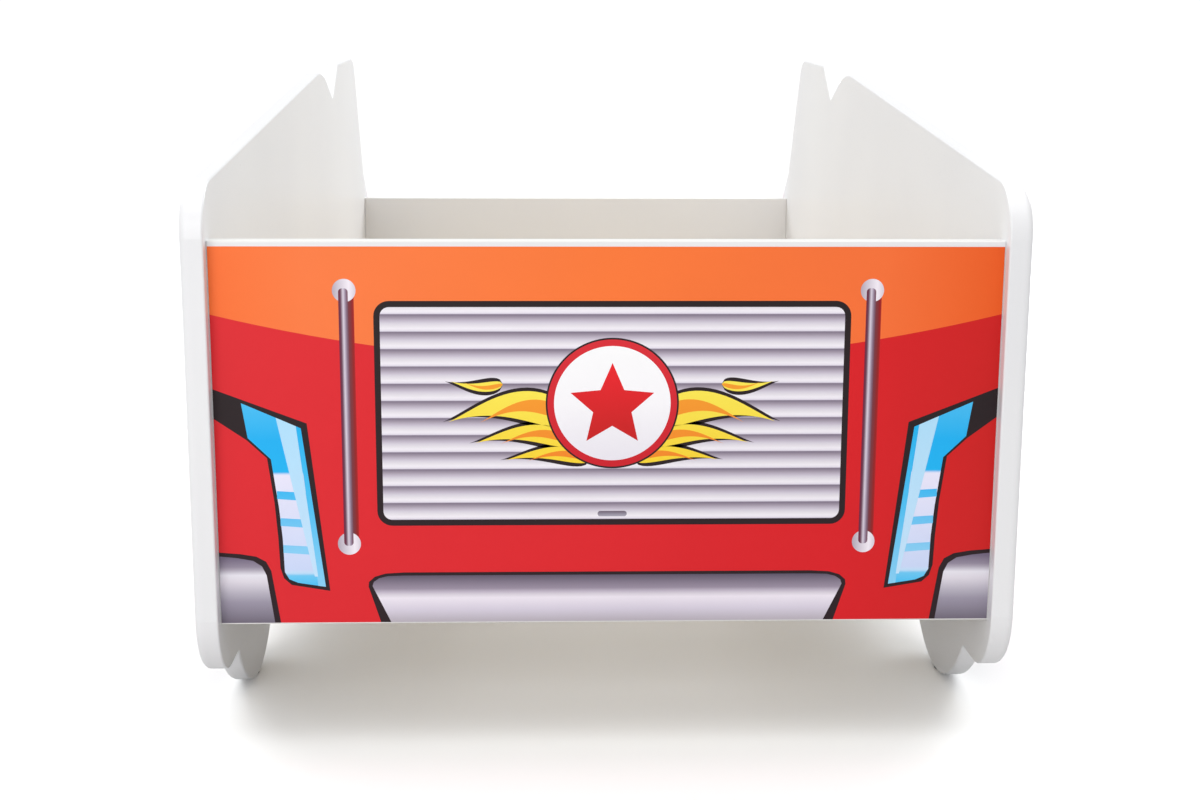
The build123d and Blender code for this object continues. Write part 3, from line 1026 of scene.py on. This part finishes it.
def bare_wood(name, along):
    """Bare planed wood whose grain runs along an axis, 0 for X or 1 for Y."""
    material, tree, output, place = new_material(name)
    stretch = [1, 1, 1]
    stretch[along] = 0.045
    laid_out = add_node(tree, "ShaderNodeMapping", {"Vector": place, "Scale": stretch})
    grain = laid_out.outputs["Vector"]
    drift = add_node(tree, "ShaderNodeTexNoise", {"Vector": grain, "Scale": 22, "Detail": 2})
    shifted = add_node(
        tree,
        "ShaderNodeVectorMath",
        {0: drift.outputs["Color"], 1: (0.03, 0.03, 0.03), 2: grain},
        operation="MULTIPLY_ADD",
    )
    rings = add_node(
        tree,
        "ShaderNodeTexWave",
        {
            "Vector": shifted.outputs["Vector"],
            "Scale": 0.31 / RING_WIDTH,
            "Distortion": 1.6,
            "Detail": 2,
        },
        bands_direction="Y" if along == 0 else "X",
        wave_profile="SAW",
    )
    fibres = add_node(
        tree, "ShaderNodeTexNoise", {"Vector": grain, "Scale": 1 / FIBRE_WIDTH, "Detail": 2}
    )
    wood = add_node(
        tree,
        "ShaderNodeValToRGB",
        {"Fac": rings.outputs["Fac"]},
        stops=[(0, "#e4d1ac"), (0.6, "#ddc89f"), (0.92, "#c5a474"), (1, "#d8c095")],
    )
    lively = add_node(
        tree,
        "ShaderNodeMapRange",
        {
            "Value": fibres.outputs["Fac"],
            "From Min": 0.3,
            "From Max": 0.7,
            "To Min": 0.9,
            "To Max": 1.06,
        },
    )
    toned = add_node(
        tree,
        "ShaderNodeHueSaturation",
        {"Color": wood.outputs["Color"], "Value": lively.outputs["Result"]},
    )
    drawn_out = [0.5 if axis == along else 1 for axis in range(3)]
    knot_place = add_node(tree, "ShaderNodeMapping", {"Vector": place, "Scale": drawn_out})
    knots = add_node(
        tree, "ShaderNodeTexVoronoi", {"Vector": knot_place.outputs["Vector"], "Scale": 7.5}
    )
    in_knot = add_node(
        tree,
        "ShaderNodeMapRange",
        {
            "Value": knots.outputs["Distance"],
            "From Min": 0.05,
            "From Max": 0.085,
            "To Min": 1,
            "To Max": 0,
        },
    )
    coloured = add_node(
        tree,
        "ShaderNodeMix",
        {"Factor": in_knot.outputs["Result"]},
        data_type="RGBA",
    )
    tree.links.new(toned.outputs["Color"], coloured.inputs[6])
    coloured.inputs[7].default_value = linear(KNOT_COLOUR)
    bump = add_node(
        tree,
        "ShaderNodeBump",
        {"Height": fibres.outputs["Fac"], "Strength": 0.35, "Distance": 1e-4},
    )
    shader = add_node(
        tree,
        "ShaderNodeBsdfPrincipled",
        {
            "Base Color": coloured.outputs[2],
            "Roughness": 0.62,
            "IOR": 1.5,
            "Normal": bump.outputs["Normal"],
        },
    )
    tree.links.new(shader.outputs["BSDF"], output.inputs["Surface"])
    return material


SLATS = sorted(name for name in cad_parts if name.startswith("slat_") and name[5:].isdigit())
dress(SLATS, bare_wood("spruce_across", 0))
dress(["left_slat_rail", "right_slat_rail"], bare_wood("spruce_along", 1))
dress(["rear_dowels", "front_dowels"], bare_wood("beech_dowels", 0))

# ------------------------------------------------------------------------ slat tapes
# Two cotton tapes, stapled to the underside of every slat to keep them evenly spaced.
# Between the slats each tape sags a little under its own weight.
TAPE_SAG = 0.004
TAPE_STEPS = 640
TAPE_THREAD = 1.3e-3
cotton, tree, output, place = new_material("cotton_webbing")
threads = []
for direction in ("X", "Y"):
    threads.append(
        add_node(
            tree,
            "ShaderNodeTexWave",
            {"Vector": place, "Scale": 0.31 / TAPE_THREAD},
            bands_direction=direction,
        )
    )
weave = add_node(
    tree,
    "ShaderNodeMath",
    {0: threads[0].outputs["Fac"], 1: threads[1].outputs["Fac"]},
    operation="MAXIMUM",
)
cloth = add_node(
    tree,
    "ShaderNodeValToRGB",
    {"Fac": weave.outputs["Value"]},
    stops=[(0.2, "#b8b09f"), (0.9, "#e9e4d8")],
)
bump = add_node(
    tree,
    "ShaderNodeBump",
    {"Height": weave.outputs["Value"], "Strength": 0.7, "Distance": 3e-4},
)
shader = add_node(
    tree,
    "ShaderNodeBsdfPrincipled",
    {"Base Color": cloth.outputs["Color"], "Roughness": 0.9, "Normal": bump.outputs["Normal"]},
)
shader.inputs["Sheen Weight"].default_value = 0.2
tree.links.new(shader.outputs["BSDF"], output.inputs["Surface"])

slat_boxes = sorted((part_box(name) for name in SLATS), key=lambda box: box[0][1])


def tape_drop(y):
    """How far a tape hangs below the slats at a place along the bed."""
    for nearer, further in zip(slat_boxes, slat_boxes[1:]):
        gap_start, gap_end = nearer[1][1], further[0][1]
        if gap_start < y < gap_end:
            return TAPE_SAG * sin(pi * (y - gap_start) / (gap_end - gap_start)) ** 1.5
    return 0


for side in ("left", "right"):
    low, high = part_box(f"{side}_slat_tape")
    tape = bmesh.new()
    bmesh.ops.create_grid(tape, x_segments=3, y_segments=TAPE_STEPS, size=0.5)
    size = Vector((high[0] - low[0], high[1] - low[1], 1))
    bmesh.ops.scale(tape, vec=size, verts=tape.verts)
    middle = ((low[0] + high[0]) / 2, (low[1] + high[1]) / 2, high[2])
    bmesh.ops.translate(tape, vec=middle, verts=tape.verts)
    for vertex in tape.verts:
        vertex.co.z -= tape_drop(vertex.co.y)
    bmesh.ops.recalc_face_normals(tape, faces=tape.faces)
    bmesh.ops.solidify(tape, geom=tape.faces, thickness=high[2] - low[2])
    tape_data = bpy.data.meshes.new(f"{side}_cotton_tape")
    tape.to_mesh(tape_data)
    tape_data.materials.append(cotton)
    tape_piece = bpy.data.objects.new(f"{side}_cotton_tape", tape_data)
    scene.collection.objects.link(tape_piece)
    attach(tape_piece, "root")
    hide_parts(f"{side}_slat_tape")

# ------------------------------------------------------------------ metal fittings
# Bright zinc-plated steel: screws, bolts, staples and nails. Cast zinc: the cam
# housings, which are duller.
def plated_metal(name, dark, light, roughness, grain_size):
    """Plated metal with a fine crystal grain."""
    material, tree, output, place = new_material(name)
    grain = add_node(
        tree, "ShaderNodeTexNoise", {"Vector": place, "Scale": 1 / grain_size, "Detail": 3}
    )
    tone = add_node(
        tree,
        "ShaderNodeValToRGB",
        {"Fac": grain.outputs["Fac"]},
        stops=[(0.3, dark), (0.7, light)],
    )
    bump = add_node(
        tree,
        "ShaderNodeBump",
        {"Height": grain.outputs["Fac"], "Strength": 0.15, "Distance": 5e-5},
    )
    shader = add_node(
        tree,
        "ShaderNodeBsdfPrincipled",
        {
            "Base Color": tone.outputs["Color"],
            "Metallic": 1.0,
            "Roughness": roughness,
            "Normal": bump.outputs["Normal"],
        },
    )
    tree.links.new(shader.outputs["BSDF"], output.inputs["Surface"])
    return material


zinc_plate = plated_metal("zinc_plated_steel", "#b9bab6", "#d3d4cf", 0.28, 0.6e-3)
cast_zinc = plated_metal("cast_zinc", "#8e9094", "#abadb1", 0.45, 0.4e-3)
screws = ["left_rail_screws", "right_rail_screws", "slat_screws", "glide_nails"]
staples = ["left_tape_staples", "right_tape_staples"]
dress(screws + staples + ["rear_cam_bolts", "front_cam_bolts"], zinc_plate)
dress(["rear_cam_housings", "front_cam_housings"], cast_zinc)

# ------------------------------------------------------------- caps and floor glides
# Moulded plastic: white caps pressed over the cams, and black polyethylene glides
# nailed under the wheels, scuffed dull by the floor.
def moulded_plastic(name, dark, light, roughness, texture_size):
    """Injection-moulded plastic with a fine spark-eroded texture."""
    material, tree, output, place = new_material(name)
    texture = add_node(
        tree, "ShaderNodeTexNoise", {"Vector": place, "Scale": 1 / texture_size, "Detail": 2}
    )
    tone = add_node(
        tree,
        "ShaderNodeValToRGB",
        {"Fac": texture.outputs["Fac"]},
        stops=[(0.35, dark), (0.65, light)],
    )
    bump = add_node(
        tree,
        "ShaderNodeBump",
        {"Height": texture.outputs["Fac"], "Strength": 0.3, "Distance": 1e-4},
    )
    shader = add_node(
        tree,
        "ShaderNodeBsdfPrincipled",
        {
            "Base Color": tone.outputs["Color"],
            "Roughness": roughness,
            "IOR": 1.5,
            "Normal": bump.outputs["Normal"],
        },
    )
    tree.links.new(shader.outputs["BSDF"], output.inputs["Surface"])
    return material


white_cap = moulded_plastic("white_polyethylene", "#e2e2df", "#ececea", 0.4, 0.5e-3)
dress(["rear_cam_caps", "front_cam_caps"], white_cap)
glides = [f"{end}_{side}_glide" for end in ENDS for side in ("left", "right")]
dress(glides, moulded_plastic("black_polyethylene", "#141313", "#262525", 0.5, 0.6e-3))
